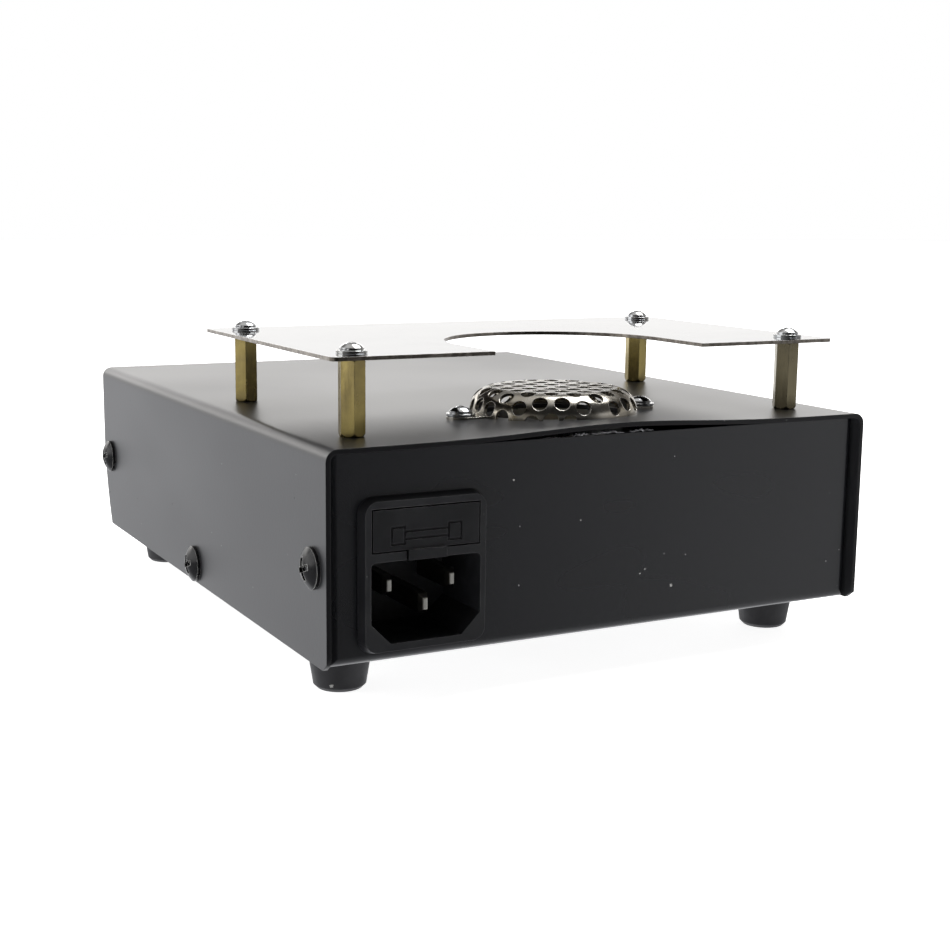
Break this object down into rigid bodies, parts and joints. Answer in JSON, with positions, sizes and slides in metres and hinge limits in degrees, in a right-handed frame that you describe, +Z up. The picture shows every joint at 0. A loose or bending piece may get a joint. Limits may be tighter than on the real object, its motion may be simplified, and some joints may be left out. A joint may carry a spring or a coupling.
{
  "type": "pcb preheater",
  "caption": "Benchtop hot-air preheater for circuit boards: black sheet-metal box on rubber feet, perforated air dome under a raised notched plate, fused mains inlet behind.",
  "frame": {"origin": "middle of the box that bounds the part, on the plane the feet rest on", "axes": "+Y towards the rear with the mains inlet, +X to the inlet's side of the rear panel, +Z up"},
  "size_m": [0.1386, 0.1776, 0.0725],
  "materials": {
    "chassis_black": "satin powder coat",
    "cover_black": "satin powder coat",
    "screw_black": "glossy",
    "rubber": "matte",
    "screw_steel": "bright plated",
    "steel": "plain",
    "plate_steel": "satin, slightly shiny",
    "standoff_brass": "aged",
    "dome_steel": "pressed, heat tinted",
    "inlet_plastic": "fine texture",
    "nickel": "nickel plated",
    "drawer_plastic": "fine texture",
    "fuse_glass": "clear",
    "fan_plastic": "moulded",
    "bronze": "sintered",
    "mica": "layered",
    "heating_wire": "oxidised",
    "white_ceramic": "plain",
    "board_green": "solder mask",
    "core_steel": "laminated, varnished",
    "winding_tape": "wound tape",
    "sink_aluminium": "black anodised",
    "triac_plastic": "moulded",
    "capacitor_sleeve": "shrunk sleeve",
    "block_green": "moulded",
    "switch_plastic": "moulded",
    "rocker_plastic": "polished",
    "lamp_red": "translucent",
    "knob_plastic": "ribbed",
    "wire_brown": "insulation",
    "wire_green": "insulation",
    "wire_white": "glass-fibre braid",
    "wire_blue": "insulation"
  },
  "bodies": {
    "housing": {"base_chassis": "chassis_black", "cover": "cover_black", "cover_screws": "screw_black", "foot_rear_left": "rubber", "foot_rear_right": "rubber", "foot_front_left": "rubber", "foot_front_right": "rubber", "foot_screws": "screw_steel", "foot_nuts": "steel", "work_plate": "plate_steel", "standoff_rear_left": "standoff_brass", "standoff_rear_right": "standoff_brass", "standoff_front_left": "standoff_brass", "standoff_front_right": "standoff_brass", "standoff_nuts": "steel", "plate_screws": "screw_steel", "air_dome": "dome_steel", "dome_screws": "screw_steel", "dome_nuts": "steel", "inlet_housing": "inlet_plastic", "inlet_pin_live": "nickel", "inlet_pin_neutral": "nickel", "inlet_pin_earth": "nickel", "fuse_terminals": "nickel", "fan_frame": "fan_plastic", "fan_bearing": "bronze", "fan_screws": "steel", "heater_sleeve": "steel", "heater_former": "mica", "heater_coil": "heating_wire", "heater_beads": "white_ceramic", "thermocouple": "steel", "control_board": "board_green", "board_spacers": "standoff_brass", "board_screws": "steel", "transformer_core": "core_steel", "transformer_coil": "winding_tape", "heat_sink": "sink_aluminium", "triac": "triac_plastic", "capacitor": "capacitor_sleeve", "terminal_block": "block_green", "switch_body": "switch_plastic", "switch_terminals": "nickel", "lamp_holder": "switch_plastic", "lamp_lens": "lamp_red", "pot_body": "steel", "pot_nut": "steel", "supply_wires": "wire_brown", "earth_wire": "wire_green", "earth_screw": "steel", "heater_wires": "wire_white", "signal_wires": "wire_blue"},
    "fuse_holder": {"fuse_drawer": "drawer_plastic", "fuse_glass": "fuse_glass", "fuse_caps": "nickel"},
    "fan_rotor": {"fan_impeller": "fan_plastic", "fan_shaft": "steel"},
    "rocker": {"switch_rocker": "rocker_plastic"},
    "knob": {"temperature_knob": "knob_plastic", "pot_shaft": "steel"}
  },
  "joints": [
    {"name": "fuse_drawer_slide", "type": "slide", "parent": "housing", "child": "fuse_holder", "axis": [0, 1, 0], "range_m": [0, 0.014]},
    {"name": "fan_spin", "type": "hinge", "parent": "housing", "child": "fan_rotor", "pos_m": [0, 0.06, 0.02], "axis": [0, 0, 1], "continuous": true},
    {"name": "rocker_tilt", "type": "hinge", "parent": "housing", "child": "rocker", "pos_m": [0.04, -0.0732, 0.0325], "axis": [1, 0, 0], "range_deg": [0, 20]},
    {"name": "knob_turn", "type": "hinge", "parent": "housing", "child": "knob", "pos_m": [-0.034, -0.0782, 0.0325], "axis": [0, 1, 0], "range_deg": [0, 300]}
  ]
}
